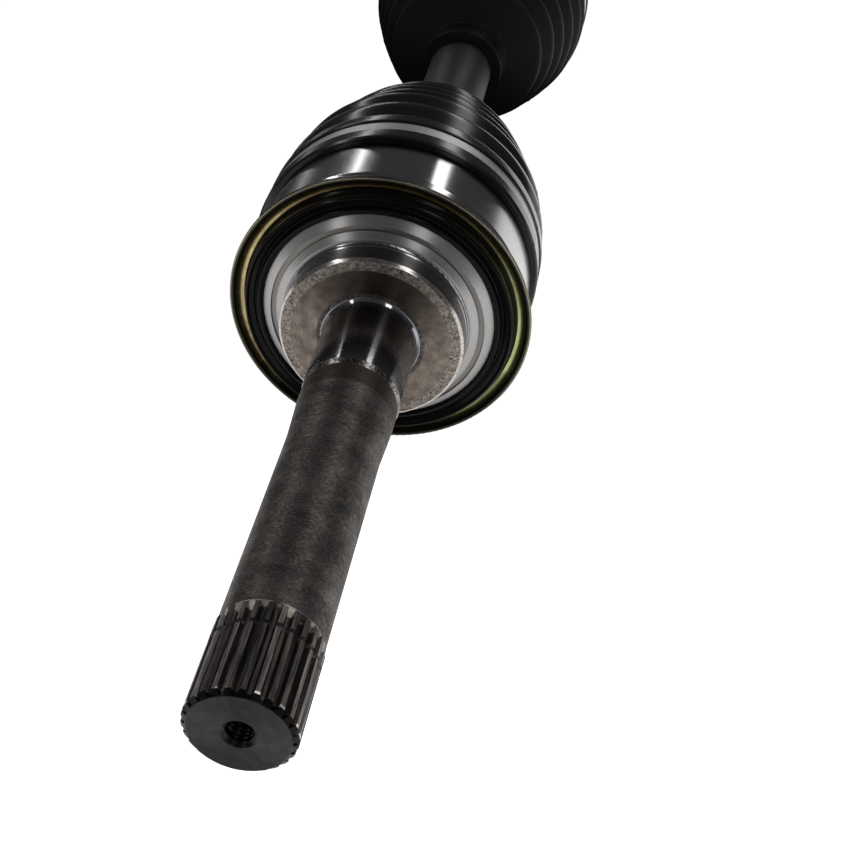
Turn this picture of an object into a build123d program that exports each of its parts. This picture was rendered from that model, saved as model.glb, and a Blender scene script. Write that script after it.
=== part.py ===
from build123d import *
import math
import os

# CV axle (constant-velocity half shaft). Millimetres.
# X runs along the axle, +X outboard towards the wheel hub. The origin is on the axis, at the
# middle of the polished bearing journal on the outboard stub.

# ---------------------------------------------------------------- driving dimensions
STUB_R = 14.0            # plain part of the stub shaft
SPLINE_R = 14.35         # over the spline lands
SPLINE_ROOT_R = 13.0
SPLINE_TEETH = 26
STUB_END_X = 147.5       # outboard end face
SPLINE_LEN = 30.5        # from the end face to the end of the run-out
SPLINE_RUNOUT = 2.6
SNAP_X0, SNAP_X1 = 123.4, 124.7   # snap-ring groove
SNAP_R = 13.15
THREAD_R = 3.6           # M8 x 1.25 thread at its pitch radius
THREAD_DEPTH = 24.0
COUNTERSINK_R = 4.7
JOURNAL_R = 15.2
JOURNAL_HALF = 15.0      # the journal's wall runs from -15 to +15
BOSS_FACE_X = -16.5
BOSS_R = 30.0
BELL_R = 46.5
BOOT_SEAT_R = 44.5
OUT_X = -59.0            # outboard joint centre
BALL_R = 8.73
BALL_PITCH = 30.0
BALL_COUNT = 6
TRACK_R = 9.70           # groove radius, with room for the ball's sideways travel
CAGE_IN_R = 27.3
CAGE_OUT_R = 33.7
RACE_R = 27.0
BELL_BORE_R = 34.0
MOUTH_X = OUT_X - 17.5
SHAFT_R = 13.0
SHAFT_SPLINE_R = 12.5
SHAFT_SPLINE_ROOT_R = 11.6
SHAFT_TEETH = 24
IN_X = -320.0            # inboard joint centre
TRI_PITCH = 23.5
ROLLER_R = 16.0
ROLLER_CROWN = 11.0
ROLLER_HALF = 6.5
TRI_TRACK_R = 16.9
TRI_CORE_R = 22.0
TRUNNION_R = 8.2
NEEDLE_R = 1.1
NEEDLE_LEN = 11.0
NEEDLE_COUNT = 24
TULIP_MOUTH_X = IN_X + 31.0
TULIP_SEAT_R = 44.0
TULIP_RIM_R = 48.2
TULIP_FLOOR_X = IN_X - 38.5
STUB2_END_X = -437.0
SHIELD_RIM_R = 49.9
BAND_T = 0.8
BAND_W = 6.4

os.makedirs("parts", exist_ok=True)


# ---------------------------------------------------------------- helpers
def profile(pts):
    """Closed face in the XY plane from (x, r) or (x, r, corner radius) points."""
    n = len(pts)
    P = [Vector(p[0], p[1], 0) for p in pts]
    rad = [p[2] if len(p) > 2 else 0.0 for p in pts]
    start, end, mid = [], [], []
    for i in range(n):
        if rad[i] <= 0:
            start.append(P[i]); end.append(P[i]); mid.append(None)
            continue
        a = (P[i - 1] - P[i]).normalized()
        b = (P[(i + 1) % n] - P[i]).normalized()
        ang = math.acos(max(-1.0, min(1.0, a.dot(b))))
        t = rad[i] / math.tan(ang / 2)
        bis = (a + b).normalized()
        c = P[i] + bis * (rad[i] / math.sin(ang / 2))
        start.append(P[i] + a * t)
        end.append(P[i] + b * t)
        mid.append(c - bis * rad[i])
    edges = []
    for i in range(n):
        if mid[i] is not None:
            edges.append(ThreePointArc(start[i], mid[i], end[i]))
        j = (i + 1) % n
        if (start[j] - end[i]).length > 1e-6:
            edges.append(Line(end[i], start[j]))
    return make_face(Wire(edges))


def turned(pts):
    """Solid of revolution about X."""
    return revolve(profile(pts), Axis.X, 360)


def rod(x0, x1, r):
    """Cylinder along X."""
    return Pos(x0, 0, 0) * Rot(0, 90, 0) * Cylinder(r, x1 - x0, align=(Align.CENTER, Align.CENTER, Align.MIN))


def yz_prism(pts, x0, x1):
    """Prism along X from (y, z) points."""
    f = make_face(Polyline(*[(0, p[0], p[1]) for p in pts], close=True))
    return Pos(x0, 0, 0) * extrude(f, amount=x1 - x0, dir=(1, 0, 0))


def tooth_profile(r_root, r_top, n, grow=0.0):
    """Closed (y, z) outline of a toothed shaft, straight-sided teeth."""
    pts = []
    p = 2 * math.pi / n
    for i in range(n):
        for r, k in ((r_root, -0.36), (r_top, -0.22), (r_top, 0.22), (r_root, 0.36)):
            a = i * p + k * p + (math.copysign(grow / r, k))
            pts.append(((r + grow) * math.cos(a), (r + grow) * math.sin(a)))
    return pts


def spline_gaps(x_open, x_end, r_root, r_top, n, runout, towards):
    """The cutters for the gaps of an external spline. towards = +1 when the open end is at +X."""
    cutters = []
    half = math.pi / n
    w_root = r_root * half * 0.30
    w_top = (r_top + 1.5) * half * 0.92
    xa = x_open + towards * 2.0
    xb = x_end
    rt = r_top + 1.5
    sec = make_face(Polyline((0, -w_root, r_root), (0, w_root, r_root), (0, w_top, rt), (0, -w_top, rt), close=True))
    lo, hi = min(xa, xb), max(xa, xb)
    prism = Pos(lo, 0, 0) * extrude(sec, amount=hi - lo, dir=(1, 0, 0))
    # the floor of the gap rises to the surface over the run-out
    xs = xb + towards * runout
    ramp = make_face(Polyline((xs, 0, r_root - 0.6), (xs, 0, r_root), (xb, 0, STUB_R + 0.02), (xb - towards * 1.0, 0, STUB_R + 0.6), (xb - towards * 1.0, 0, r_root - 0.6), close=True))
    ramp = Pos(0, -3, 0) * extrude(ramp, amount=6, dir=(0, 1, 0))
    gap = prism - ramp
    for i in range(n):
        cutters.append(Rot(360.0 / n * i, 0, 0) * gap)
    return cutters


def band_clamp(x_mid, r_in, width, ear_angle, ear_h, ear_w):
    """Crimped band clamp: a flat steel band with one raised ear."""
    r_out = r_in + BAND_T
    ring = Circle(r_out) - Circle(r_in)
    t = 0.9
    ear_out = make_face(FilletPolyline((r_out - 0.3, -ear_w / 2), (r_out + ear_h, -ear_w / 2 + 0.9), (r_out + ear_h, ear_w / 2 - 0.9), (r_out - 0.3, ear_w / 2), radius=[0, 1.3, 1.3, 0], close=True))
    ear_in = make_face(Polyline((r_out - 0.35, -ear_w / 2 + t), (r_out + ear_h - t, -ear_w / 2 + t + 0.7), (r_out + ear_h - t, ear_w / 2 - t - 0.7), (r_out - 0.35, ear_w / 2 - t), close=True))
    sec = Rot(0, 0, ear_angle) * (ring + (ear_out - ear_in))
    solid = extrude(sec, amount=width)
    return Pos(x_mid - width / 2, 0, 0) * Rot(0, 90, 0) * solid


def ring_c(x_mid, r_mid, wire_r, gap_deg, turn):
    """Open wire ring about X."""
    t = Torus(r_mid, wire_r, major_angle=360 - gap_deg, align=None)
    return Pos(x_mid, 0, 0) * Rot(turn, 0, 0) * Rot(0, 90, 0) * t


def one(s):
    """The shape's solids, as a compound when there are several."""
    sol = s.solids() if hasattr(s, "solids") else s
    if len(sol) == 1:
        return sol[0]
    return Compound(children=list(sol))


def save(shape, name):
    shape.label = name
    export_step(shape, os.path.join("parts", name + ".step"))


def group(solids):
    return Compound(children=[s if isinstance(s, Solid) else s.solids()[0] for s in solids])


# ---------------------------------------------------------------- outboard housing
# Stub shaft, journal, boss and bell are one forging.
hub_outer = turned([
    (STUB_END_X, 0), (STUB_END_X, 12.8, 0.0), (STUB_END_X - 1.35, SPLINE_R, 0.3),
    (STUB_END_X - SPLINE_LEN + 0.6, SPLINE_R), (STUB_END_X - SPLINE_LEN, STUB_R + 0.02),
    (41.0, STUB_R, 20.0), (25.5, 14.85, 8.0), (17.2, 14.85, 0.0), (15.0, JOURNAL_R),
    (-JOURNAL_HALF, JOURNAL_R, 0.0), (-15.35, JOURNAL_R + 0.06), (-16.1, JOURNAL_R + 0.62), (BOSS_FACE_X, JOURNAL_R + 1.5),
    (BOSS_FACE_X, 25.9), (BOSS_FACE_X - 0.15, 26.2), (BOSS_FACE_X - 0.15, 29.0), (BOSS_FACE_X - 1.1, BOSS_R, 0.25),
    (-23.6, BOSS_R), (-23.9, BOSS_R - 0.25), (-24.5, BOSS_R - 0.25), (-24.8, BOSS_R), (-26.2, BOSS_R, 0.6), (-26.5, 31.2, 0.3),
    (-27.9, 33.3), (-28.7, 33.4), (-28.7, 35.0), (-27.9, 35.2), (-29.6, 37.6, 0.2), (-29.9, 38.0),
    (-38.5, 38.0), (-38.5, 43.2), (-41.5, BELL_R, 0.6), (-59.0, BELL_R, 0.0), (-59.6, BELL_R - 0.35), (-60.8, BELL_R - 0.35, 0.3), (-61.0, BOOT_SEAT_R + 0.0),
    (MOUTH_X, BOOT_SEAT_R, 0.8), (MOUTH_X, 0),
])
# centre thread
hole = rod(STUB_END_X - THREAD_DEPTH, STUB_END_X + 1, THREAD_R)
drill = turned([(STUB_END_X - THREAD_DEPTH - 2.1, 0), (STUB_END_X - THREAD_DEPTH + 0.01, THREAD_R), (STUB_END_X - THREAD_DEPTH + 0.01, 0)])
csk = turned([(STUB_END_X - 1.0, 0), (STUB_END_X - 1.0, THREAD_R), (STUB_END_X + 0.01, COUNTERSINK_R), (STUB_END_X + 0.01, 0)])
housing = hub_outer - [hole, drill, csk]
# splines, then the snap-ring groove across their lands
housing = housing - spline_gaps(STUB_END_X, STUB_END_X - SPLINE_LEN, SPLINE_ROOT_R, SPLINE_R, SPLINE_TEETH, SPLINE_RUNOUT, +1)
snap = rod(SNAP_X0, SNAP_X1, 18) - rod(SNAP_X0 - 1, SNAP_X1 + 1, SNAP_R)
housing = housing - snap
# spherical seat for the cage, open towards the mouth
cavity = Pos(OUT_X, 0, 0) * Rot(0, 90, 0) * Sphere(BELL_BORE_R)
cavity = cavity & (Pos(OUT_X + 26.0, 0, 0) * Rot(0, -90, 0) * Cylinder(60, 80, align=(Align.CENTER, Align.CENTER, Align.MIN)))
flare = turned([(OUT_X - 11.0, 0), (OUT_X - 11.0, 32.0), (MOUTH_X - 1, 36.2), (MOUTH_X - 1, 0)])
housing = housing - cavity - flare
# ball grooves: circular tracks about the joint centre, closed at their outboard end
track_start = 41.0       # degrees past the centre plane, towards the stub
track_arc = 102.0
tracks = []
for k in range(BALL_COUNT):
    # the arc starts track_start past the centre plane and runs out through the mouth
    arc = Rot(0, 0, 90.0 - track_start) * Torus(BALL_PITCH, TRACK_R, major_angle=track_arc, align=None)
    tracks.append(Pos(OUT_X, 0, 0) * Rot(360.0 / BALL_COUNT * k, 0, 0) * arc)
housing = housing - tracks
save(one(housing), "outboard_housing")

# ---------------------------------------------------------------- dust shield and seal
shield = turned([
    (-38.3, 38.02), (-33.9, 38.02), (-34.1, 46.9, 2.2), (-31.6, 48.7, 0.6), (-31.6, SHIELD_RIM_R, 0.5), (-32.8, SHIELD_RIM_R, 0.8),
    (-35.2, 47.6, 2.6), (-35.0, 40.2, 0.8), (-38.3, 39.2, 0.3),
])
save(one(shield), "outboard_dust_shield")
seal = turned([
    (-33.8, 38.06), (-30.2, 38.06, 0.5), (-28.9, 39.0, 0.8), (-29.2, 40.1, 0.6), (-31.2, 40.7, 0.35), (-30.6, 41.5, 0.5),
    (-29.9, 42.9, 0.6), (-28.9, 43.6, 0.35), (-29.5, 44.2, 0.4), (-32.2, 44.4, 0.8), (-32.9, 45.3, 0.4), (-33.95, 45.35),
])
save(one(seal), "outboard_seal")

# ---------------------------------------------------------------- outboard joint internals
shaft_bore = yz_prism(tooth_profile(SHAFT_SPLINE_ROOT_R, SHAFT_SPLINE_R, SHAFT_TEETH, 0.04), OUT_X - 20, OUT_X + 20)
race = (Pos(OUT_X, 0, 0) * Rot(0, 90, 0) * Sphere(RACE_R)) & rod(OUT_X - 13, OUT_X + 13, 40)
race = race - shaft_bore
for k in range(BALL_COUNT // 2):
    race = race - (Pos(OUT_X, 0, 0) * Rot(360.0 / BALL_COUNT * k, 0, 0) * Torus(BALL_PITCH, TRACK_R))
save(one(race), "outboard_inner_race")

cage = ((Pos(OUT_X, 0, 0) * Rot(0, 90, 0) * Sphere(CAGE_OUT_R)) & rod(OUT_X - 13.5, OUT_X + 13.5, 40)) - (Pos(OUT_X, 0, 0) * Rot(0, 90, 0) * Sphere(CAGE_IN_R))
for k in range(BALL_COUNT):
    w = Pos(OUT_X, 0, 0) * Rot(360.0 / BALL_COUNT * k, 0, 0) * Pos(0, BALL_PITCH, 0) * Box(2 * BALL_R + 0.08, 16, 18.6)
    cage = cage - w
save(one(cage), "outboard_cage")
balls = [Pos(OUT_X, 0, 0) * Rot(360.0 / BALL_COUNT * k, 0, 0) * Pos(0, BALL_PITCH, 0) * Sphere(BALL_R) for k in range(BALL_COUNT)]
save(group(balls), "outboard_balls")
save(one(ring_c(OUT_X + 14.0, 11.9, 0.85, 24, 35)), "inner_race_circlip")

# ---------------------------------------------------------------- axle shaft
OUT_SMALL_X = (-158.4, -171.0)   # seat of the outboard boot's small end
IN_SMALL_X = (-188.6, -201.0)    # seat of the inboard boot's small end
shaft = turned([
    (OUT_X + 17.0, 0), (OUT_X + 17.0, 11.4), (OUT_X + 16.2, 12.2), (OUT_X + 14.95, 12.2), (OUT_X + 14.95, 11.0), (OUT_X + 13.05, 11.0), (OUT_X + 13.05, 12.5),
    (OUT_X - 14.0, 12.5), (OUT_X - 15.6, 11.55, 1.0), (OUT_X - 20.0, 11.55, 2.0), (OUT_X - 26.0, SHAFT_R, 4.0),
    (-157.6, SHAFT_R, 0.0), (-158.0, SHAFT_R - 0.4), (-171.4, SHAFT_R - 0.4), (-171.8, SHAFT_R),
    (-221.8, SHAFT_R), (-222.2, SHAFT_R - 0.4), (-235.4, SHAFT_R - 0.4), (-235.8, SHAFT_R),
    (-239.0, SHAFT_R, 8.0), (-256.0, 10.5, 12.0), (IN_X + 13.9, 10.5),
    (IN_X + 13.3, 11.5), (IN_X + 12.9, 11.5), (IN_X + 12.9, 10.2), (IN_X + 11.1, 10.2), (IN_X + 11.1, 11.5), (IN_X - 11.1, 11.5), (IN_X - 11.1, 10.2), (IN_X - 12.9, 10.2), (IN_X - 12.9, 11.5), (IN_X - 13.6, 11.5), (IN_X - 14.4, 10.7), (IN_X - 14.4, 0),
])
# outboard and inboard splines of the shaft
core_out = rod(OUT_X - 14.0, OUT_X + 18, 30) - yz_prism(tooth_profile(SHAFT_SPLINE_ROOT_R, SHAFT_SPLINE_R, SHAFT_TEETH), OUT_X - 14.0, OUT_X + 18)
shaft = shaft - core_out
in_teeth = tooth_profile(10.6, 11.5, SHAFT_TEETH)
core_in = rod(IN_X - 16, IN_X + 13.9, 30) - yz_prism(in_teeth, IN_X - 16, IN_X + 13.9)
shaft = shaft - core_in
save(one(shaft), "axle_shaft")

# ---------------------------------------------------------------- boots
out_boot_outer = [
    (-61.6, 48.5, 0.0), (-62.1, 48.9), (-67.2, 48.9), (-67.7, 47.42), (-72.9, 47.42), (-73.4, 48.9), (-78.2, 48.8, 0.8),
    (-81.5, 45.6, 1.6), (-88.5, 48.3, 2.2), (-94.5, 44.4, 1.4), (-100.0, 46.9, 2.0), (-105.0, 41.4, 1.3), (-110.2, 43.8, 1.9),
    (-114.8, 38.0, 1.3), (-119.6, 41.1, 1.8), (-124.0, 34.8, 1.3), (-128.6, 38.2, 1.7), (-132.6, 31.0, 1.3), (-137.0, 35.0, 1.6),
    (-140.8, 26.4, 1.2), (-145.2, 30.2, 1.5), (-149.0, 21.6, 1.2), (-152.8, 24.6, 1.4), (-156.4, 17.0, 1.0),
    (-159.8, 17.0, 0.0), (-160.2, 15.9), (-167.4, 15.9), (-167.8, 17.0), (-170.8, 17.0, 0.5),
]
out_boot_inner = [
    (-170.8, 12.65), (-158.4, 12.65), (-157.4, 14.4), (-156.8, 14.6), (-152.8, 22.3), (-149.0, 19.2), (-145.2, 27.9), (-140.8, 24.0), (-137.0, 32.7), (-132.6, 28.6),
    (-128.6, 35.9), (-124.0, 32.4), (-119.6, 38.8), (-114.8, 35.6), (-110.2, 41.5), (-105.0, 39.0), (-100.0, 44.5), (-94.5, 42.0),
    (-88.5, 45.8), (-81.5, 43.2), (-78.2, 44.55), (-61.6, 44.55),
]
save(one(turned(out_boot_outer + out_boot_inner)), "outboard_boot")

in_boot_outer = [
    (-223.0, 17.0, 0.5), (-226.0, 17.0), (-226.4, 15.9), (-233.4, 15.9), (-233.8, 17.0), (-236.4, 17.2, 0.8),
    (-241.6, 32.0, 1.8), (-246.8, 27.6, 1.3), (-252.2, 37.0, 1.9), (-257.4, 32.8, 1.3), (-262.8, 40.8, 1.9), (-267.8, 37.0, 1.3),
    (-273.0, 44.2, 1.9), (-278.0, 40.9, 1.3), (-283.0, 46.5, 1.6), (-287.2, 45.4, 1.2), (-291.0, 47.8, 0.5), (-293.6, 47.8), (-294.1, 46.75), (-301.1, 46.75), (-301.6, 47.8), (-304.6, 47.8, 0.5),
]
in_boot_inner = [
    (-304.6, 44.05), (-288.6, 44.05), (-287.2, 43.3), (-283.0, 44.1), (-278.0, 38.6), (-273.0, 41.8), (-267.8, 34.7), (-262.8, 38.4), (-257.4, 30.5),
    (-252.2, 34.6), (-246.8, 25.3), (-241.6, 29.6), (-237.6, 15.0), (-236.0, 14.2), (-235.0, 12.65), (-223.0, 12.65),
]
save(one(turned(in_boot_outer + in_boot_inner)), "inboard_boot")

# ---------------------------------------------------------------- clamps
save(one(band_clamp(-70.3, 47.46, 4.6, 338.0, 4.2, 9.0)), "outboard_boot_clamp_large")
save(one(band_clamp(-163.8, 15.94, BAND_W, 350.0, 3.4, 7.0)), "outboard_boot_clamp_small")
save(one(band_clamp(-229.9, 15.94, BAND_W, 10.0, 3.4, 7.0)), "inboard_boot_clamp_small")
save(one(band_clamp(-297.6, 46.79, BAND_W, 24.5, 4.2, 9.0)), "inboard_boot_clamp_large")

# ---------------------------------------------------------------- inboard housing
tulip = turned([
    (TULIP_MOUTH_X, 0), (TULIP_MOUTH_X, TULIP_SEAT_R, 0.8), (-305.0, TULIP_SEAT_R), (-305.0, TULIP_RIM_R, 0.6), (-311.0, TULIP_RIM_R, 0.6),
    (-312.5, 45.0, 1.0), (-361.0, 45.0, 4.0), (-369.5, 37.5, 3.0), (-371.5, 26.0, 1.2), (-374.0, 24.0, 0.4), (-374.0, 20.0, 0.8),
    (-386.0, 20.0, 0.5), (-387.6, 17.6, 0.8), (-391.0, 14.2, 2.0), (-396.0, STUB_R, 1.0),
    (-399.0, STUB_R + 0.02), (-399.6, SPLINE_R), (-430.2, SPLINE_R), (-430.2, 12.4), (-432.0, 12.4), (-432.0, SPLINE_R), (-434.8, SPLINE_R), (STUB2_END_X, 12.3, 0.4), (STUB2_END_X, 0),
])
tulip = tulip - spline_gaps(STUB2_END_X, -399.0, SPLINE_ROOT_R, SPLINE_R, SPLINE_TEETH, SPLINE_RUNOUT, -1)
core = rod(TULIP_FLOOR_X + 1.5, TULIP_MOUTH_X + 1, TRI_CORE_R)
mouth = turned([(TULIP_MOUTH_X - 17.0, 0), (TULIP_MOUTH_X - 17.0, TRI_CORE_R), (TULIP_MOUTH_X + 0.5, 30.2), (TULIP_MOUTH_X + 0.5, 0)])
tulip = tulip - core - mouth
for a in (0, 120, 240):
    # a round-bottomed track for each roller, parallel to the axis
    tulip = tulip - (Rot(a, 0, 0) * Pos(0, TRI_PITCH, 0) * rod(TULIP_FLOOR_X, TULIP_MOUTH_X + 1, TRI_TRACK_R))
    # lightening scallop between the tracks
    tulip = tulip - (Rot(a + 60, 0, 0) * Pos(0, 57.0, 0) * rod(-400, -316.0, 22.0))
save(one(tulip), "inboard_housing")
save(one(ring_c(-431.1, 13.3, 0.8, 22, 35)), "inboard_stub_circlip")

# ---------------------------------------------------------------- tripod
spider = turned([(IN_X - 11, 0), (IN_X - 11, 14.6, 1.0), (IN_X - 7.5, 16.2, 2.0), (IN_X + 7.5, 16.2, 2.0), (IN_X + 11, 14.6, 1.0), (IN_X + 11, 0)])
for a in (0, 120, 240):
    trunnion = Rot(a, 0, 0) * Pos(IN_X, 0, 0) * Rot(-90, 0, 0) * (
        Cylinder(TRUNNION_R, 33.3, align=(Align.CENTER, Align.CENTER, Align.MIN))
        - (Pos(0, 0, 30.95) * (Cylinder(12, 1.2, align=(Align.CENTER, Align.CENTER, Align.MIN)) - Cylinder(7.4, 1.2, align=(Align.CENTER, Align.CENTER, Align.MIN))))
    )
    spider = spider + trunnion
spider = spider - yz_prism(tooth_profile(10.6, 11.5, SHAFT_TEETH, 0.04), IN_X - 20, IN_X + 20)
save(one(spider), "tripod_spider")


def about_u(pts):
    """Solid of revolution about local +Z from (radius, height) points, then laid along +Y."""
    f = make_face(Polyline(*[(p[0], 0, p[1]) for p in pts], close=True))
    return revolve(f, Axis.Z, 360)


def to_trunnion(shape, a):
    return Rot(a, 0, 0) * Pos(IN_X, 0, 0) * Rot(-90, 0, 0) * shape


pitch_n = TRUNNION_R + 0.03 + NEEDLE_R
bore_n = pitch_n + NEEDLE_R + 0.03
crown_off = ROLLER_R - ROLLER_CROWN
edge_r = crown_off + math.sqrt(ROLLER_CROWN ** 2 - ROLLER_HALF ** 2)
crown = ThreePointArc((edge_r, 0, TRI_PITCH - ROLLER_HALF), (ROLLER_R, 0, TRI_PITCH), (edge_r, 0, TRI_PITCH + ROLLER_HALF))
roller_face = make_face(Wire([
    crown,
    Line((edge_r, 0, TRI_PITCH + ROLLER_HALF), (bore_n, 0, TRI_PITCH + ROLLER_HALF)),
    Line((bore_n, 0, TRI_PITCH + ROLLER_HALF), (bore_n, 0, TRI_PITCH - ROLLER_HALF)),
    Line((bore_n, 0, TRI_PITCH - ROLLER_HALF), (edge_r, 0, TRI_PITCH - ROLLER_HALF)),
]))
roller = revolve(roller_face, Axis.Z, 360)
washers, snaps = [], []
for i, a in enumerate((0, 120, 240)):
    save(one(to_trunnion(roller, a)), "tripod_roller_%d" % (i + 1))
    needles = []
    for k in range(NEEDLE_COUNT):
        n = Rot(0, 0, 360.0 / NEEDLE_COUNT * k) * Pos(pitch_n, 0, TRI_PITCH - NEEDLE_LEN / 2) * Cylinder(NEEDLE_R, NEEDLE_LEN, align=(Align.CENTER, Align.CENTER, Align.MIN))
        needles.append(to_trunnion(n, a))
    save(group(needles), "roller_needles_%d" % (i + 1))
    w = about_u([(TRUNNION_R + 0.04, 30.06), (13.2, 30.06), (13.2, 30.86), (TRUNNION_R + 0.04, 30.86)])
    washers.append(to_trunnion(w, a))
    c = Torus(8.2, 0.5, major_angle=318, align=None)
    snaps.append(to_trunnion(Rot(0, 0, 20) * Pos(0, 0, 31.5) * c, a))
save(group(washers), "roller_washers")
save(group(snaps), "roller_snap_rings")
clips = [ring_c(IN_X + 12.0, 11.15, 0.85, 26, 15), ring_c(IN_X - 12.0, 11.15, 0.85, 26, 200)]
save(group(clips), "spider_circlips")
print("done")
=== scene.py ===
import math

import bpy
from mathutils import Matrix, Vector


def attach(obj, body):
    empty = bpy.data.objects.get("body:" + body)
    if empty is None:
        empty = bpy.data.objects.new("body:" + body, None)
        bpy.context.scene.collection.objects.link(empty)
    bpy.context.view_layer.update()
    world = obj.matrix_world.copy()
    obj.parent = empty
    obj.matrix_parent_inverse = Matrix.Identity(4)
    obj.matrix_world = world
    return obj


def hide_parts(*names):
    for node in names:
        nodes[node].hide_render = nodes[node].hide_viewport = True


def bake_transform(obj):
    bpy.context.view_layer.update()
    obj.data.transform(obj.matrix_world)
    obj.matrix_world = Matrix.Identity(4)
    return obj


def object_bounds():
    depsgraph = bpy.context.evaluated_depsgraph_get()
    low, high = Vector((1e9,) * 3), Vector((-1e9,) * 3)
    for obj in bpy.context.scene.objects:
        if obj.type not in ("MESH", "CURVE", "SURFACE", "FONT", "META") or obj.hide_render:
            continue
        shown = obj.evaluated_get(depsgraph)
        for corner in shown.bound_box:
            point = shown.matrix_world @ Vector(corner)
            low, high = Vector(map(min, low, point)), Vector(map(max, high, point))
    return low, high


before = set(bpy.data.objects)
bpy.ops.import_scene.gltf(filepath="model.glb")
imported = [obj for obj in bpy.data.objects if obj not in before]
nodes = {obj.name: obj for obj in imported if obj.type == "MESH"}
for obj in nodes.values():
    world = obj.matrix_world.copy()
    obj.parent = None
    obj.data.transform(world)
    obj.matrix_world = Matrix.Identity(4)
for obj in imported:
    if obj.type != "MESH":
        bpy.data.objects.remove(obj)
cad_lo, cad_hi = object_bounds()
scene = bpy.context.scene


# ------------------------------------------------------------------ node helpers
class Shader:
    """A node material with short calls for the maths. Coordinates are millimetres in the row frame."""

    def __init__(self, name, metallic=0.0, roughness=0.5, **fixed):
        self.m = bpy.data.materials.new(name)
        self.m.use_nodes = True
        self.t = self.m.node_tree
        self.b = self.t.nodes["Principled BSDF"]
        self.b.inputs["Metallic"].default_value = metallic
        self.b.inputs["Roughness"].default_value = roughness
        for k, v in fixed.items():
            self.b.inputs[k.replace("_", " ")].default_value = v
        tc = self.t.nodes.new("ShaderNodeTexCoord")
        mm = self.t.nodes.new("ShaderNodeVectorMath")
        mm.operation = "SCALE"
        self.t.links.new(tc.outputs["Object"], mm.inputs[0])
        mm.inputs["Scale"].default_value = 1000.0
        self.p = mm.outputs[0]
        sep = self.t.nodes.new("ShaderNodeSeparateXYZ")
        self.t.links.new(self.p, sep.inputs[0])
        self.x, self.y, self.z = sep.outputs
        self._r = None
        self._phi = None

    def put(self, socket, value):
        if isinstance(value, bpy.types.NodeSocket):
            self.t.links.new(value, socket)
        else:
            socket.default_value = value

    def math(self, op, a, b=0.0, c=0.0, clamp=False):
        n = self.t.nodes.new("ShaderNodeMath")
        n.operation = op
        n.use_clamp = clamp
        self.put(n.inputs[0], a)
        self.put(n.inputs[1], b)
        if len(n.inputs) > 2:
            self.put(n.inputs[2], c)
        return n.outputs[0]

    @property
    def r(self):
        if self._r is None:
            self._r = self.math("SQRT", self.math("ADD", self.math("MULTIPLY", self.y, self.y), self.math("MULTIPLY", self.z, self.z)))
        return self._r

    @property
    def phi(self):
        """Angle about the axis in degrees, 0 at +Z, growing toward +Y."""
        if self._phi is None:
            self._phi = self.math("MULTIPLY", self.math("ARCTAN2", self.y, self.z), 180.0 / math.pi)
        return self._phi

    def step(self, v, lo, hi):
        """0 below lo, 1 above hi, smooth between."""
        n = self.t.nodes.new("ShaderNodeMapRange")
        n.interpolation_type = "SMOOTHSTEP"
        n.inputs["From Min"].default_value = lo
        n.inputs["From Max"].default_value = hi
        self.put(n.inputs["Value"], v)
        return n.outputs["Result"]

    def band(self, v, lo, hi, soft):
        a = self.step(v, lo - soft, lo + soft)
        b = self.math("SUBTRACT", 1.0, self.step(v, hi - soft, hi + soft))
        return self.math("MULTIPLY", a, b)

    def remap(self, v, a, b, c, d):
        n = self.t.nodes.new("ShaderNodeMapRange")
        n.inputs["From Min"].default_value = a
        n.inputs["From Max"].default_value = b
        n.inputs["To Min"].default_value = c
        n.inputs["To Max"].default_value = d
        self.put(n.inputs["Value"], v)
        return n.outputs["Result"]

    def stretch(self, sx, sy, sz, vector=None):
        n = self.t.nodes.new("ShaderNodeVectorMath")
        n.operation = "MULTIPLY"
        self.put(n.inputs[0], vector or self.p)
        n.inputs[1].default_value = (sx, sy, sz)
        return n.outputs[0]

    def noise(self, scale=(1, 1, 1), size=1.0, detail=4.0, rough=0.55, distortion=0.0, seed=0.0):
        """Noise from 0 to 1 about 0.5. size is the feature size in mm; scale stretches it."""
        n = self.t.nodes.new("ShaderNodeTexNoise")
        n.noise_dimensions = "4D"
        n.inputs["Scale"].default_value = 1.0 / size
        n.inputs["Detail"].default_value = detail
        n.inputs["Roughness"].default_value = rough
        n.inputs["Distortion"].default_value = distortion
        n.inputs["W"].default_value = seed
        self.put(n.inputs["Vector"], self.stretch(*scale))
        return n.outputs["Fac"] if "Fac" in n.outputs else n.outputs[0]

    def cells(self, size=1.0, scale=(1, 1, 1), feature="F1"):
        n = self.t.nodes.new("ShaderNodeTexVoronoi")
        n.feature = feature
        n.inputs["Scale"].default_value = 1.0 / size
        self.put(n.inputs["Vector"], self.stretch(*scale))
        return n.outputs["Distance"]

    def ramp(self, fac, stops):
        n = self.t.nodes.new("ShaderNodeValToRGB")
        self.put(n.inputs[0], fac)
        e = n.color_ramp.elements
        while len(e) > 1:
            e.remove(e[-1])
        for i, (pos, col) in enumerate(stops):
            c = (*col, 1.0) if len(col) == 3 else col
            if i == 0:
                e[0].position = pos
                e[0].color = c
            else:
                k = e.new(pos)
                k.color = c
        return n.outputs["Color"]

    def mix(self, fac, a, b):
        n = self.t.nodes.new("ShaderNodeMix")
        n.data_type = "RGBA"
        self.put(n.inputs[0], fac)
        for s, v in ((n.inputs[6], a), (n.inputs[7], b)):
            if not isinstance(v, bpy.types.NodeSocket) and len(v) == 3:
                v = (*v, 1.0)
            self.put(s, v)
        return n.outputs[2]

    def lerp(self, fac, a, b):
        n = self.t.nodes.new("ShaderNodeMix")
        n.data_type = "FLOAT"
        self.put(n.inputs[0], fac)
        self.put(n.inputs[2], a)
        self.put(n.inputs[3], b)
        return n.outputs[0]

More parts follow.
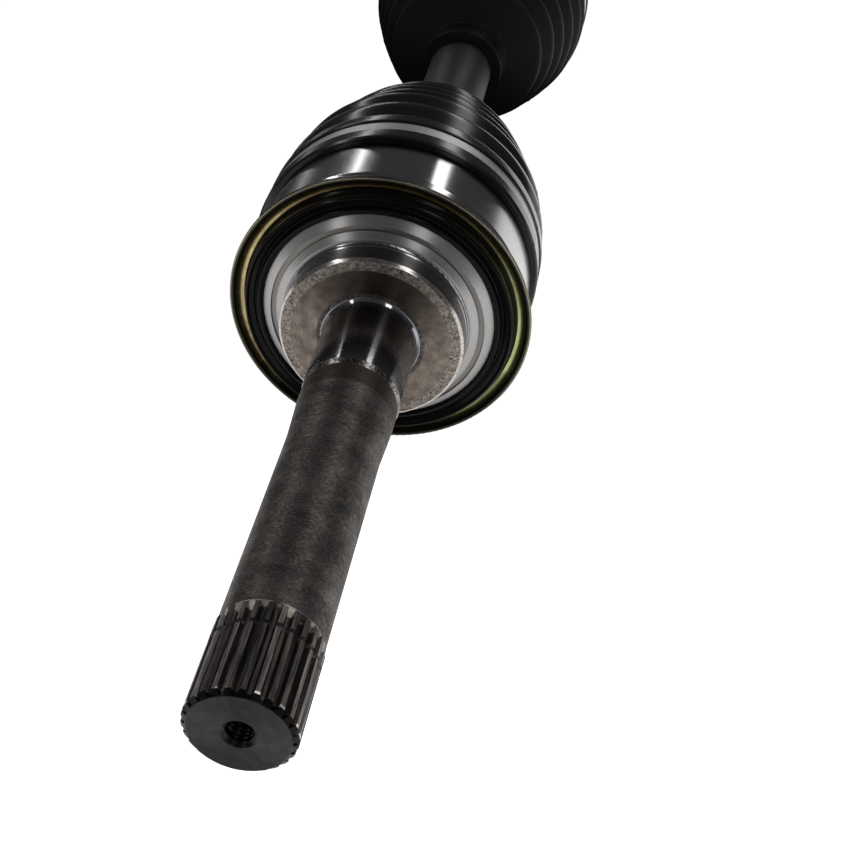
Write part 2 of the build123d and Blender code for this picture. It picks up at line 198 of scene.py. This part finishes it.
    def bump(self, height, distance, strength=1.0, normal=None):
        n = self.t.nodes.new("ShaderNodeBump")
        n.inputs["Strength"].default_value = strength
        n.inputs["Distance"].default_value = distance
        self.put(n.inputs["Height"], height)
        if normal is not None:
            self.put(n.inputs["Normal"], normal)
        return n.outputs["Normal"]

    def set(self, **sockets):
        for k, v in sockets.items():
            s = self.b.inputs[k.replace("_", " ")]
            if not isinstance(v, bpy.types.NodeSocket) and k in ("Base_Color",) and len(v) == 3:
                v = (*v, 1.0)
            self.put(s, v)
        return self.m


# ------------------------------------------------------------------ materials
def housing_material():
    s = Shader("heat_scaled_housing", metallic=1.0)
    fine = s.noise((2.6, 1, 1), 1.15, 6, 0.72)                  # short marks round the axis
    mottle = s.noise((1.8, 1, 1), 9.0, 4, 0.6, 0.3, 3.0)
    along = s.noise((0.16, 2.4, 2.4), 1.5, 4, 0.6, 0.0, 5.0)
    speck = s.noise((1, 1, 1), 0.55, 3, 0.6, 0.0, 9.0)
    grain = s.math("ADD", s.math("MULTIPLY", fine, 0.68), s.math("MULTIPLY", mottle, 0.32))

    # heat-scaled stub
    scale_col = s.ramp(grain, [(0.36, (0.028, 0.026, 0.025)), (0.46, (0.072, 0.066, 0.063)), (0.55, (0.14, 0.129, 0.120)), (0.68, (0.30, 0.275, 0.252))])
    scale_rough = s.remap(grain, 0.3, 0.7, 0.84, 0.66)
    # worn spline lands
    land = s.math("MULTIPLY", s.step(s.r, 13.45, 13.8), s.step(s.x, 116.5, 118.0))
    worn = s.ramp(along, [(0.33, (0.045, 0.041, 0.040)), (0.47, (0.095, 0.087, 0.084)), (0.60, (0.18, 0.165, 0.155)), (0.76, (0.36, 0.30, 0.25))])
    col = s.mix(land, scale_col, worn)
    rough = s.lerp(land, scale_rough, 0.62)
    # bright run-outs of the cut teeth, between the lands
    runout = s.math("MULTIPLY", s.band(s.x, 116.9, 119.5, 0.25), s.math("SUBTRACT", 1.0, s.step(s.r, 14.16, 14.26)))
    runout = s.math("MULTIPLY", runout, s.step(s.noise((1, 1, 1), 3.2, 2, 0.5, 0.0, 21.0), 0.36, 0.52))
    col = s.mix(runout, col, (0.52, 0.48, 0.43))
    # tooth floors: dark
    floor = s.math("MULTIPLY", s.step(s.x, 119.4, 119.9), s.math("SUBTRACT", 1.0, s.step(s.r, 12.95, 13.35)))
    floor = s.math("MULTIPLY", floor, s.step(s.r, 12.7, 12.9))
    col = s.mix(floor, col, s.mix(s.step(along, 0.4, 0.65), (0.040, 0.036, 0.035), (0.12, 0.108, 0.10)))
    # end face
    face = s.step(s.x, 146.2, 146.6)
    face_grey = s.ramp(s.noise((1, 1, 1), 2.6, 5, 0.6, 0.0, 2.0), [(0.3, (0.020, 0.020, 0.022)), (0.55, (0.030, 0.030, 0.032)), (0.8, (0.043, 0.042, 0.043))])
    col = s.mix(face, col, face_grey)
    rough = s.lerp(face, rough, 0.5)
    # the blackened chamfer round the end, with a few painted highlights: bright glints where the teeth start
    bevel = s.math("MULTIPLY", s.step(s.x, 146.0, 146.2), s.step(s.r, 12.82, 12.88))
    col = s.mix(bevel, col, s.mix(speck, (0.004, 0.004, 0.004), (0.012, 0.011, 0.011)))
    rough = s.lerp(bevel, rough, 0.42)
    tooth_glint = s.math("MULTIPLY", s.band(s.x, 145.5, 146.15, 0.12), s.step(s.r, 14.0, 14.15))
    tooth_glint = s.math("MULTIPLY", tooth_glint, s.step(s.noise((0.3, 1, 1), 2.6, 2, 0.5, 0.0, 33.0), 0.46, 0.54))
    col = s.mix(tooth_glint, col, (0.75, 0.70, 0.66))
    # drilled hole: painted shade, its inside painted near-black
    hole = s.math("MULTIPLY", s.step(s.x, 120.0, 121.0), s.math("SUBTRACT", 1.0, s.step(s.r, 4.62, 4.72)))
    col = s.mix(hole, col, s.ramp(s.noise((5, 1, 1), 1.2, 4, 0.6, 0.0, 4.0), [(0.3, (0.006, 0.006, 0.006)), (0.7, (0.030, 0.028, 0.026))]))
    rough = s.lerp(hole, rough, 0.32)

    # brown turned band beside the journal, then the speckled shoulder
    brown = s.band(s.x, 17.4, 25.0, 0.8)
    col = s.mix(s.math("MULTIPLY", brown, 0.8), col, s.ramp(fine, [(0.3, (0.022, 0.017, 0.014)), (0.55, (0.058, 0.046, 0.037)), (0.75, (0.15, 0.125, 0.10))]))
    ring = s.band(s.x, 14.9, 17.3, 0.2)
    col = s.mix(ring, col, s.ramp(speck, [(0.40, (0.040, 0.035, 0.031)), (0.52, (0.15, 0.14, 0.13)), (0.64, (0.48, 0.46, 0.44))]))
    rough = s.lerp(ring, rough, 0.36)

    # ground journal
    journal = s.math("MULTIPLY", s.band(s.x, -16.2, 15.0, 0.15), s.math("SUBTRACT", 1.0, s.step(s.r, 17.4, 17.9)))
    ground = s.noise((26, 1, 1), 9.0, 2, 0.5, 0.0, 7.0)
    col = s.mix(journal, col, s.mix(ground, (0.25, 0.245, 0.26), (0.31, 0.305, 0.32)))
    rough = s.lerp(journal, rough, s.remap(ground, 0.3, 0.7, 0.12, 0.15))

    # the boss's front face: brown turned steel, pitted towards its edge
    inner = s.math("MULTIPLY", s.band(s.x, -17.5, -15.9, 0.1), s.step(s.r, 17.0, 17.8))
    turned = s.noise((0, 1, 1), 4.0, 4, 0.6, 0.0, 8.0)
    rings_v = s.math("FRACT", s.math("MULTIPLY", s.r, 2.2))
    rings_v = s.math("ABSOLUTE", s.math("SUBTRACT", rings_v, 0.5))
    lathe = s.math("ADD", s.math("MULTIPLY", rings_v, 0.5), s.math("MULTIPLY", turned, 0.75))
    col = s.mix(inner, col, s.ramp(lathe, [(0.30, (0.062, 0.050, 0.042)), (0.50, (0.125, 0.104, 0.088)), (0.72, (0.23, 0.195, 0.168))]))
    # painted shade: the face is painted darkest over its upper part, inside r 26
    painted_top_shade = s.math("SUBTRACT", 1.0, s.step(s.math("ABSOLUTE", s.math("SUBTRACT", s.phi, 6.0)), 22.0, 92.0))
    painted_top_shade = s.math("MULTIPLY", painted_top_shade, s.math("SUBTRACT", 1.0, s.step(s.r, 25.2, 26.6)))
    col = s.mix(s.math("MULTIPLY", s.math("MULTIPLY", painted_top_shade, inner), 0.80), col, (0.030, 0.024, 0.020))
    rough = s.lerp(inner, rough, s.remap(lathe, 0.3, 0.8, 0.48, 0.34))
    pit_mask = s.math("MULTIPLY", s.band(s.r, 25.9, 29.1, 0.15), s.band(s.x, -17.9, -15.9, 0.05))
    pits = s.noise((1, 1, 1), 0.85, 5, 0.72, 0.4, 11.0)
    col = s.mix(pit_mask, col, s.ramp(pits, [(0.34, (0.030, 0.024, 0.019)), (0.46, (0.12, 0.103, 0.088)), (0.56, (0.22, 0.195, 0.172)), (0.70, (0.34, 0.31, 0.28))]))
    rough = s.lerp(pit_mask, rough, 0.46)
    edge = s.math("MULTIPLY", s.band(s.r, 29.05, 30.2, 0.12), s.band(s.x, -18.3, -16.3, 0.05))
    col = s.mix(edge, col, s.ramp(pits, [(0.35, (0.20, 0.18, 0.16)), (0.6, (0.52, 0.49, 0.46))]))
    rough = s.lerp(edge, rough, 0.25)

    # polished boss, then the machined lands of the shoulder
    boss = s.math("MULTIPLY", s.band(s.x, -26.3, -17.6, 0.15), s.band(s.r, 29.0, 30.6, 0.1))
    col = s.mix(boss, col, s.mix(ground, (0.22, 0.215, 0.215), (0.31, 0.305, 0.305)))
    rough = s.lerp(boss, rough, 0.22)
    lands = s.math("MULTIPLY", s.band(s.x, -30.6, -26.3, 0.1), s.step(s.r, 30.2, 30.9))
    col = s.mix(lands, col, s.mix(s.noise((1, 1, 1), 0.8, 3, 0.5, 0.0, 12.0), (0.25, 0.245, 0.243), (0.36, 0.355, 0.35)))
    rough = s.lerp(lands, rough, 0.38)
    # painted shade: the recess between the lands is painted darker
    groove_shade = s.math("MULTIPLY", s.band(s.x, -29.2, -28.2, 0.1), s.band(s.r, 33.35, 35.15, 0.1))
    col = s.mix(groove_shade, col, (0.17, 0.16, 0.15))

    # the bell
    bell = s.step(s.x, -31.0, -30.8)
    bell = s.math("SUBTRACT", 1.0, bell)
    turning = s.noise((30, 1, 1), 14.0, 3, 0.55, 0.0, 14.0)
    col = s.mix(bell, col, s.mix(turning, (0.25, 0.247, 0.25), (0.35, 0.345, 0.35)))
    rough = s.lerp(bell, rough, s.remap(turning, 0.3, 0.7, 0.14, 0.18))
    inside = s.math("MULTIPLY", s.math("SUBTRACT", 1.0, s.step(s.x, -34.0, -33.0)), s.math("SUBTRACT", 1.0, s.step(s.r, 43.6, 44.0)))
    col = s.mix(inside, col, s.mix(mottle, (0.16, 0.155, 0.15), (0.30, 0.29, 0.28)))

    # relief
    h_scale = s.math("MULTIPLY", s.math("ADD", s.math("MULTIPLY", fine, 0.4), s.math("MULTIPLY", s.noise((2, 1, 1), 0.9, 4, 0.65, 0.0, 30.0), 0.6)), s.step(s.x, 17.0, 17.6))
    h_pit = s.math("MULTIPLY", pits, s.math("MULTIPLY", pit_mask, 3.0))
    h_turn = s.math("MULTIPLY", rings_v, s.math("MULTIPLY", inner, 0.35))
    h = s.math("ADD", h_scale, s.math("ADD", h_pit, h_turn))
    tangent = s.t.nodes.new("ShaderNodeTangent")
    tangent.direction_type = "RADIAL"
    tangent.axis = "X"
    s.t.links.new(tangent.outputs[0], s.b.inputs["Tangent"])
    s.b.inputs["Anisotropic"].default_value = 0.85
    s.b.inputs["Anisotropic Rotation"].default_value = 0.25
    return s.set(Base_Color=col, Roughness=rough, Normal=s.bump(h, 0.00006, 1.0))


def steel(name, lo, hi, rough_lo, rough_hi, stretch=(12, 1, 1), size=5.0, relief=0.00001, tint=None):
    """Plain machined or ground steel, with fine marks along stretch and slight blotches."""
    s = Shader(name, metallic=1.0)
    a = s.noise(stretch, size, 4, 0.6, 0.0, 1.0)
    b = s.noise((1, 1, 1), size * 1.8, 4, 0.55, 0.2, 6.0)
    f = s.math("ADD", s.math("MULTIPLY", a, 0.6), s.math("MULTIPLY", b, 0.4))
    col = s.ramp(f, [(0.32, lo), (0.68, hi)])
    if tint:
        col = s.mix(s.step(b, 0.55, 0.75), col, tint)
    return s.set(Base_Color=col, Roughness=s.remap(f, 0.3, 0.7, rough_lo, rough_hi), Normal=s.bump(a, relief))


def shield_material():
    s = Shader("yellow_chromate_plate", metallic=1.0)
    blot = s.noise((1, 1, 1), 9.0, 4, 0.55, 0.6, 2.0)
    fine = s.noise((1, 1, 1), 1.1, 4, 0.6, 0.0, 4.0)
    # the passivate shifts between gold, olive and green round the plate; its brightness is painted light: painted
    # highlights at the two sides, painted shade over the top and the bottom
    turn = s.math("ADD", s.phi, s.remap(blot, 0.3, 0.7, -26.0, 26.0))
    hue_and_painted_light = s.ramp(s.remap(turn, -180.0, 180.0, 0.0, 1.0), [
        (0.00, (0.030, 0.026, 0.012)), (0.14, (0.06, 0.048, 0.020)), (0.22, (0.30, 0.24, 0.11)), (0.34, (0.44, 0.36, 0.18)), (0.45, (0.20, 0.15, 0.065)),
        (0.52, (0.15, 0.11, 0.050)), (0.62, (0.24, 0.22, 0.10)), (0.74, (0.42, 0.45, 0.21)), (0.84, (0.16, 0.18, 0.075)), (1.00, (0.030, 0.026, 0.012))])
    col = s.mix(s.remap(fine, 0.3, 0.7, 0.0, 0.30), hue_and_painted_light, (0.10, 0.075, 0.025))
    # rolled edge: painted shade, dark, with a thin bright edge line that is a painted highlight
    shaded_rim = s.step(s.r, 47.7, 48.3)
    col = s.mix(shaded_rim, col, s.mix(fine, (0.012, 0.0115, 0.010), (0.034, 0.032, 0.028)))
    line = s.math("MULTIPLY", s.band(s.r, 49.35, 49.75, 0.1), s.step(s.x, -32.6, -32.2))
    col = s.mix(line, col, s.mix(fine, (0.12, 0.11, 0.075), (0.26, 0.245, 0.17)))
    # painted shade: inside r 45, behind the seal, the plate is painted dark
    inner = s.math("SUBTRACT", 1.0, s.step(s.r, 44.9, 45.5))
    col = s.mix(inner, col, (0.03, 0.026, 0.016))
    rough = s.lerp(shaded_rim, s.remap(fine, 0.3, 0.7, 0.26, 0.38), 0.34)
    return s.set(Base_Color=col, Roughness=rough, Normal=s.bump(fine, 0.00002))


def rubber(name, dark, light, rough_lo, rough_hi, grain=0.5, relief=0.00003, coat=0.0, spec=0.5):
    s = Shader(name, metallic=0.0)
    s.b.inputs["Specular IOR Level"].default_value = spec
    s.b.inputs["Coat Weight"].default_value = coat
    s.b.inputs["Coat Roughness"].default_value = 0.12
    a = s.noise((1, 1, 1), grain, 3, 0.6, 0.0, 1.0)
    b = s.noise((1, 1, 1), 11.0, 4, 0.6, 0.5, 5.0)
    dust = s.step(s.noise((1, 1, 1), 0.9, 2, 0.5, 0.0, 8.0), 0.66, 0.74)
    f = s.math("ADD", s.math("MULTIPLY", a, 0.35), s.math("MULTIPLY", b, 0.65))
    col = s.mix(f, dark, light)
    col = s.mix(s.math("MULTIPLY", dust, 0.03), col, (0.09, 0.09, 0.088))
    return s.set(Base_Color=col, Roughness=s.remap(f, 0.3, 0.7, rough_lo, rough_hi), Normal=s.bump(s.math("ADD", a, s.math("MULTIPLY", b, 4.0)), relief))


def paint_material():
    s = Shader("matte_black_paint", metallic=0.0)
    s.b.inputs["Specular IOR Level"].default_value = 0.3
    a = s.noise((1, 1, 1), 0.7, 4, 0.6, 0.0, 1.0)
    b = s.noise((1, 1, 1), 14.0, 4, 0.6, 0.4, 5.0)
    f = s.math("ADD", s.math("MULTIPLY", a, 0.5), s.math("MULTIPLY", b, 0.5))
    return s.set(Base_Color=s.ramp(f, [(0.3, (0.0045, 0.0045, 0.0048)), (0.7, (0.011, 0.0108, 0.0105))]), Roughness=s.remap(f, 0.3, 0.7, 0.56, 0.46), Normal=s.bump(a, 0.00005))


M_HOUSING = housing_material()
M_BEARING = steel("ground_bearing_steel", (0.34, 0.34, 0.345), (0.55, 0.55, 0.555), 0.16, 0.26, tint=(0.30, 0.28, 0.25))
M_BALL = steel("polished_ball_steel", (0.60, 0.60, 0.61), (0.74, 0.74, 0.75), 0.06, 0.12, stretch=(1, 1, 1), size=3.0, relief=0.000003)
M_SPRING = steel("spring_steel", (0.055, 0.055, 0.058), (0.15, 0.148, 0.145), 0.30, 0.42, stretch=(1, 1, 1), size=1.2)
M_CLAMP = steel("clamp_band_steel", (0.34, 0.34, 0.335), (0.46, 0.46, 0.455), 0.40, 0.52, stretch=(9, 1, 1), size=4.0, relief=0.00002)
M_BLACK_BAND = steel("blackened_band_steel", (0.012, 0.012, 0.012), (0.030, 0.030, 0.029), 0.42, 0.56, stretch=(6, 1, 1), size=2.0, relief=0.00002)
M_TULIP = steel("forged_tulip_steel", (0.030, 0.028, 0.027), (0.095, 0.090, 0.085), 0.38, 0.55, stretch=(3, 1, 1), size=3.0, relief=0.00005)
M_SHIELD = shield_material()
M_SEAL = rubber("seal_rubber_black", (0.002, 0.002, 0.002), (0.0045, 0.0045, 0.0045), 0.12, 0.18, 1.6, 0.000002, 0.0, 0.07)
M_BOOT = rubber("boot_rubber_black", (0.0045, 0.0045, 0.0048), (0.007, 0.007, 0.0075), 0.17, 0.23, 1.4, 0.000002, 0.0, 0.38)
# the inboard boot: the same rubber, more matte, with its colour painted darker: painted shade
M_BOOT_IN = rubber("boot_rubber_satin_shaded", (0.0018, 0.0018, 0.0019), (0.0042, 0.0042, 0.0044), 0.52, 0.64, 1.4, 0.00001, 0.0, 0.12)
M_PAINT = paint_material()

by_node = {
    "outboard_housing": M_HOUSING, "outboard_dust_shield": M_SHIELD, "outboard_seal": M_SEAL,
    "outboard_inner_race": M_BEARING, "outboard_cage": M_BEARING, "outboard_balls": M_BALL,
    "inner_race_circlip": M_SPRING, "axle_shaft": M_PAINT, "inboard_housing": M_TULIP,
    "inboard_stub_circlip": M_SPRING, "tripod_spider": M_BEARING, "roller_washers": M_BEARING,
    "roller_snap_rings": M_SPRING, "spider_circlips": M_SPRING,
    "outboard_boot_clamp_large": M_CLAMP, "outboard_boot_clamp_small": M_BLACK_BAND,
    "inboard_boot_clamp_small": M_BLACK_BAND, "inboard_boot_clamp_large": M_CLAMP,
}
for i in (1, 2, 3):
    by_node[f"tripod_roller_{i}"] = M_BEARING
    by_node[f"roller_needles_{i}"] = M_BALL
for name, m in by_node.items():
    o = nodes[name]
    if not o.material_slots:
        o.data.materials.append(m)
    for sl in o.material_slots:
        sl.material = m


# ------------------------------------------------------------------ mesh helpers
def round_path(points, steps=7):
    """Polyline with each corner (x, r, radius) turned into a smooth curve; corners with no radius stay as they are."""
    out = []
    n = len(points)
    for i, p in enumerate(points):
        v = Vector(p[:2])
        if len(p) < 3 or i in (0, n - 1):
            out.append(v)
            continue
        a, b = Vector(points[i - 1][:2]), Vector(points[i + 1][:2])
        la, lb = (a - v).length, (b - v).length
        da, db = (a - v).normalized(), (b - v).normalized()
        half = da.angle(db) / 2
        cut = min(p[2] / math.tan(half), 0.47 * la, 0.47 * lb)
        r = cut * math.tan(half)
        centre = v + (da + db).normalized() * (r / math.sin(half))
        s, e = v + da * cut, v + db * cut
        va, vb = s - centre, e - centre
        total = va.angle(vb)
        sign = 1 if va.x * vb.y - va.y * vb.x > 0 else -1
        for k in range(steps + 1):
            t = sign * total * k / steps
            out.append(centre + Vector((va.x * math.cos(t) - va.y * math.sin(t), va.x * math.sin(t) + va.y * math.cos(t))))
    return out


def densify(points, longest):
    out = [points[0]]
    for a, b in zip(points, points[1:]):
        k = max(1, math.ceil((b - a).length / longest))
        out += [a.lerp(b, j / k) for j in range(1, k + 1)]
    return out


def revolve(name, loop, seg=240, material=None, shape=None, sharp=40):
    """Closed body of revolution about X. loop is a closed profile of (x, r) in mm; shape(x, r, phi) may change r."""
    verts, faces = [], []
    n = len(loop)
    for k in range(seg):
        a = 2 * math.pi * k / seg
        for p in loop:
            x, r = p[0], p[1]
            if shape:
                x, r = shape(x, r, a)
            verts.append((x / 1000, r * math.sin(a) / 1000, r * math.cos(a) / 1000))
    for k in range(seg):
        k2 = (k + 1) % seg
        for j in range(n):
            j2 = (j + 1) % n
            faces.append((k * n + j, k * n + j2, k2 * n + j2, k2 * n + j))
    me = bpy.data.meshes.new(name)
    me.from_pydata(verts, [], faces)
    me.validate()
    me.update()
    import bmesh
    bm = bmesh.new()
    bm.from_mesh(me)
    bmesh.ops.recalc_face_normals(bm, faces=bm.faces)
    bm.to_mesh(me)
    bm.free()
    me.polygons.foreach_set("use_smooth", [True] * len(me.polygons))
    me.set_sharp_from_angle(angle=math.radians(sharp))
    o = bpy.data.objects.new(name, me)
    scene.collection.objects.link(o)
    if material:
        me.materials.append(material)
    return o


# ------------------------------------------------------------------ boots
OUT_OUTER = [(-61.6, 48.3, 0.3), (-62.2, 48.9, 0.5), (-67.1, 48.9, 0.5), (-67.7, 47.42, 0.3), (-72.9, 47.42, 0.3), (-73.5, 48.9, 0.6), (-78.2, 48.8, 2.6), (-81.5, 45.6, 1.8),
             (-88.5, 48.7, 5.0), (-94.5, 44.2, 1.6), (-100.0, 47.3, 4.0), (-105.0, 41.2, 1.5), (-110.2, 44.2, 3.6), (-114.8, 37.8, 1.4),
             (-119.6, 41.5, 3.2), (-124.0, 34.7, 1.4), (-128.6, 38.6, 2.8), (-132.6, 31.0, 1.4), (-137.0, 35.4, 2.6), (-140.8, 26.4, 1.3),
             (-145.2, 30.6, 2.4), (-149.0, 21.6, 1.3), (-152.8, 24.9, 2.0), (-156.4, 17.2, 1.2), (-159.6, 17.1, 0.4), (-160.3, 15.9, 0.3),
             (-167.3, 15.9, 0.3), (-168.0, 17.1, 0.4), (-170.6, 17.0, 0.6)]
OUT_INNER = [(-170.8, 12.75, 0.2), (-158.4, 12.75, 0.4), (-156.8, 14.6, 0.8), (-152.8, 22.4, 0.8), (-149.0, 19.2, 1.4), (-145.2, 28.0, 0.9), (-140.8, 24.1, 1.4),
             (-137.0, 32.8, 0.9), (-132.6, 28.8, 1.4), (-128.6, 36.0, 1.0), (-124.0, 32.6, 1.4), (-119.6, 38.9, 1.0), (-114.8, 35.8, 1.4),
             (-110.2, 41.6, 1.1), (-105.0, 39.2, 1.4), (-100.0, 44.6, 1.2), (-94.5, 42.2, 1.4), (-88.5, 46.0, 1.3), (-81.5, 43.3, 1.5),
             (-78.2, 44.6, 0.8), (-61.6, 44.6, 0.2)]
IN_OUTER = [(-223.2, 17.0, 0.6), (-225.8, 17.1, 0.4), (-226.5, 15.9, 0.3), (-233.3, 15.9, 0.3), (-234.0, 17.1, 0.4), (-236.4, 17.3, 1.0), (-241.6, 35.4, 2.6), (-246.8, 28.0, 1.3),
            (-252.2, 39.2, 3.0), (-257.4, 33.0, 1.3), (-262.8, 42.3, 3.0), (-267.8, 37.2, 1.3), (-273.0, 45.2, 3.0), (-278.0, 41.1, 1.3),
            (-283.0, 47.0, 2.2), (-287.4, 45.4, 1.2), (-291.0, 47.8, 0.6), (-293.5, 47.8, 0.5), (-294.2, 46.75, 0.3), (-301.0, 46.75, 0.3),
            (-301.7, 47.8, 0.5), (-304.4, 47.8, 0.6)]
IN_INNER = [(-304.6, 44.1, 0.2), (-288.6, 44.1, 0.6), (-287.2, 43.4, 0.7), (-283.0, 44.6, 0.9), (-278.0, 38.9, 1.4), (-273.0, 42.6, 1.1), (-267.8, 35.0, 1.4),
            (-262.8, 39.7, 1.1), (-257.4, 30.8, 1.4), (-252.2, 36.4, 1.1), (-246.8, 25.8, 1.4), (-241.6, 32.5, 1.0), (-237.6, 15.4, 0.8), (-236.2, 14.2, 0.5),
            (-235.0, 12.75, 0.4), (-223.2, 12.75, 0.2)]


def boot_shape(x, r, a):
    """The mould's parting line: a fine raised seam at the two sides, and a slight unevenness of the rubber."""
    d = min(abs((math.degrees(a) - c + 180) % 360 - 180) for c in (75.0, 255.0))
    seam = 0.16 * max(0.0, 1 - (d / 0.9) ** 2) if d < 0.9 else 0.0
    wobble = 0.07 * math.sin(3 * a + x * 0.11) + 0.05 * math.sin(5 * a - x * 0.23)
    return x, r + seam + wobble * min(1.0, max(0.0, r - 20.0) / 15.0)


def boot_loop(outer, inner):
    o = densify(round_path(outer), 1.2)
    i = densify(round_path(inner), 1.6)
    return [(p.x, p.y) for p in o + i]


def split_loop(outer, inner, at):
    """The two halves of a boot wall, cut by the plane x = at: (towards +X, towards -X)."""
    def cut(path):
        path = densify(round_path(path), 1.2)
        near, far = [], []
        for a, b in zip(path, path[1:]):
            if (a.x - at) * (b.x - at) < 0:
                t = (at - a.x) / (b.x - a.x)
                m = a.lerp(b, t)
                (near if a.x > at else far).extend([a, m])
                (far if a.x > at else near).append(m)
            else:
                (near if a.x > at else far).append(a)
        (near if path[-1].x > at else far).append(path[-1])
        return near, far
    on, of_ = cut(outer)
    inn, inf = cut(inner)
    return [(p.x, p.y) for p in on + inn], [(p.x, p.y) for p in of_ + inf]


out_boot = revolve("outboard_boot_bellows", boot_loop(OUT_OUTER, OUT_INNER), 288, M_BOOT, boot_shape)
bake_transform(out_boot)
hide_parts("outboard_boot")

SPLIT = -0.2715
near, far = split_loop(IN_OUTER, IN_INNER, SPLIT * 1000)
in_boot_a = revolve("inboard_boot_small_end", near, 240, M_BOOT_IN, boot_shape)
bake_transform(in_boot_a)
in_boot_b = revolve("inboard_boot_large_end", far, 240, M_BOOT_IN, boot_shape)
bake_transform(in_boot_b)
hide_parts("inboard_boot")
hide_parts("inboard_boot")


# ------------------------------------------------------------------ thread in the stub's hole
def thread(name, x0, x1, r_out, r_in, pitch, seg=72):
    """An internal thread: a ridge of four-sided section wound from x0 to x1, fading out at both ends."""
    turns = (x1 - x0 - pitch) / pitch
    total = int(turns * seg)
    verts, faces = [], []
    for k in range(total + 1):
        a = 2 * math.pi * k / seg
        x = x0 + pitch * 0.5 + pitch * k / seg
        fade = min(1.0, k / (seg * 0.5), (total - k) / (seg * 0.5))
        tip = r_out - (r_out - r_in) * max(0.06, fade)
        for dx, r in ((-0.48, r_out + 0.05), (-0.09, tip), (0.09, tip), (0.48, r_out + 0.05)):
            xx = x + dx * pitch
            verts.append((xx / 1000, r * math.sin(a) / 1000, r * math.cos(a) / 1000))
    for k in range(total):
        for j in range(4):
            j2 = (j + 1) % 4
            faces.append((k * 4 + j, k * 4 + j2, (k + 1) * 4 + j2, (k + 1) * 4 + j))
    faces.append((0, 1, 2, 3))
    faces.append(tuple(total * 4 + j for j in (3, 2, 1, 0)))
    me = bpy.data.meshes.new(name)
    me.from_pydata(verts, [], faces)
    me.update()
    import bmesh
    bm = bmesh.new()
    bm.from_mesh(me)
    bmesh.ops.recalc_face_normals(bm, faces=bm.faces)
    bm.to_mesh(me)
    bm.free()
    me.polygons.foreach_set("use_smooth", [True] * len(me.polygons))
    me.set_sharp_from_angle(angle=math.radians(30))
    me.materials.append(M_HOUSING)
    o = bpy.data.objects.new(name, me)
    scene.collection.objects.link(o)
    return o


stub_thread = thread("stub_hole_thread", 123.9, 146.2, 3.60, 3.22, 1.25)
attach(stub_thread, "outboard_hub")


# ------------------------------------------------------------------ floor, light, camera
def quad(name, corners, material):
    me = bpy.data.meshes.new(name)
    me.from_pydata(corners, [], [(0, 1, 2, 3)])
    me.update()
    me.materials.append(material)
    o = bpy.data.objects.new(name, me)
    scene.collection.objects.link(o)
    return o


z_floor = cad_lo.z - 0.001
fl = Shader("white_floor", metallic=0.0, roughness=0.9)
fl.b.inputs["Emission Strength"].default_value = 1.02
fl.set(Base_Color=fl.mix(fl.noise((1, 1, 1), 60.0, 2, 0.5), (0.86, 0.86, 0.86), (0.9, 0.9, 0.9)), Emission_Color=(1, 1, 1, 1))
floor = quad("floor", [(-6, -6, z_floor), (6, -6, z_floor), (6, 6, z_floor), (-6, 6, z_floor)], fl.m)

# painted shadow: a black sheet on the floor beside and under the part, hidden from the camera, seen only in reflections
bk = Shader("floor_shadow_black", metallic=0.0, roughness=0.9)
bk.set(Base_Color=bk.mix(bk.noise((1, 1, 1), 60.0, 2, 0.5), (0.01, 0.01, 0.01), (0.015, 0.015, 0.015)))
floor_shadow_sheet = quad("painted_floor_shadow", [(-3, -0.7, z_floor + 0.0005), (-0.06, -0.7, z_floor + 0.0005), (-0.06, 0.062, z_floor + 0.0005), (-3, 0.062, z_floor + 0.0005)], bk.m)
floor_shadow_sheet.visible_camera = False

world = bpy.data.worlds.new("studio")
scene.world = world
world.use_nodes = True
wt = world.node_tree
bg = wt.nodes["Background"]
lp = wt.nodes.new("ShaderNodeLightPath")
mixc = wt.nodes.new("ShaderNodeMix")
mixc.data_type = "RGBA"
mixc.inputs[6].default_value = (0.085, 0.084, 0.088, 1)
mixc.inputs[7].default_value = (1.05, 1.05, 1.05, 1)
wt.links.new(lp.outputs["Is Camera Ray"], mixc.inputs[0])
wt.links.new(mixc.outputs[2], bg.inputs["Color"])


def strip(name, angle, distance, width, length, radiance, x_mid=-1.0, color=(1, 1, 1)):
    """A long soft strip parallel to X, angle degrees from straight up toward +Y."""
    a = math.radians(angle)
    d = Vector((0, math.sin(a), math.cos(a)))
    li = bpy.data.lights.new(name, "AREA")
    li.shape = "RECTANGLE"
    li.size, li.size_y = length, width
    li.energy = radiance * math.pi * length * width
    li.color = color
    o = bpy.data.objects.new(name, li)
    z = d
    x = Vector((1, 0, 0))
    y = z.cross(x)
    m = Matrix((x, y, z)).transposed().to_4x4()
    m.translation = d * distance + Vector((x_mid, 0, 0))
    o.matrix_world = m
    scene.collection.objects.link(o)
    return o


strip("strip_left", -41, 1.0, 0.065, 4.0, 9.0)
strip("strip_right", 29, 1.0, 0.20, 4.0, 4.0)

cam_data = bpy.data.cameras.new("photo_camera")
cam = bpy.data.objects.new("photo_camera", cam_data)
scene.collection.objects.link(cam)
right, up, back = Vector((-0.1575, 0.98752, 0.0)), Vector((-0.60195, -0.09601, 0.7927)), Vector((0.78285, 0.12485, 0.60956))
m = Matrix((right, up, back)).transposed().to_4x4()
m.translation = Vector((0.36925, 0.0792, 0.2686))
cam.matrix_world = m
cam_data.sensor_width = 36.0
cam_data.lens = 63.38
cam_data.clip_start, cam_data.clip_end = 0.01, 50
scene.camera = cam

scene.view_settings.view_transform = "Standard"
scene.view_settings.look = "None"
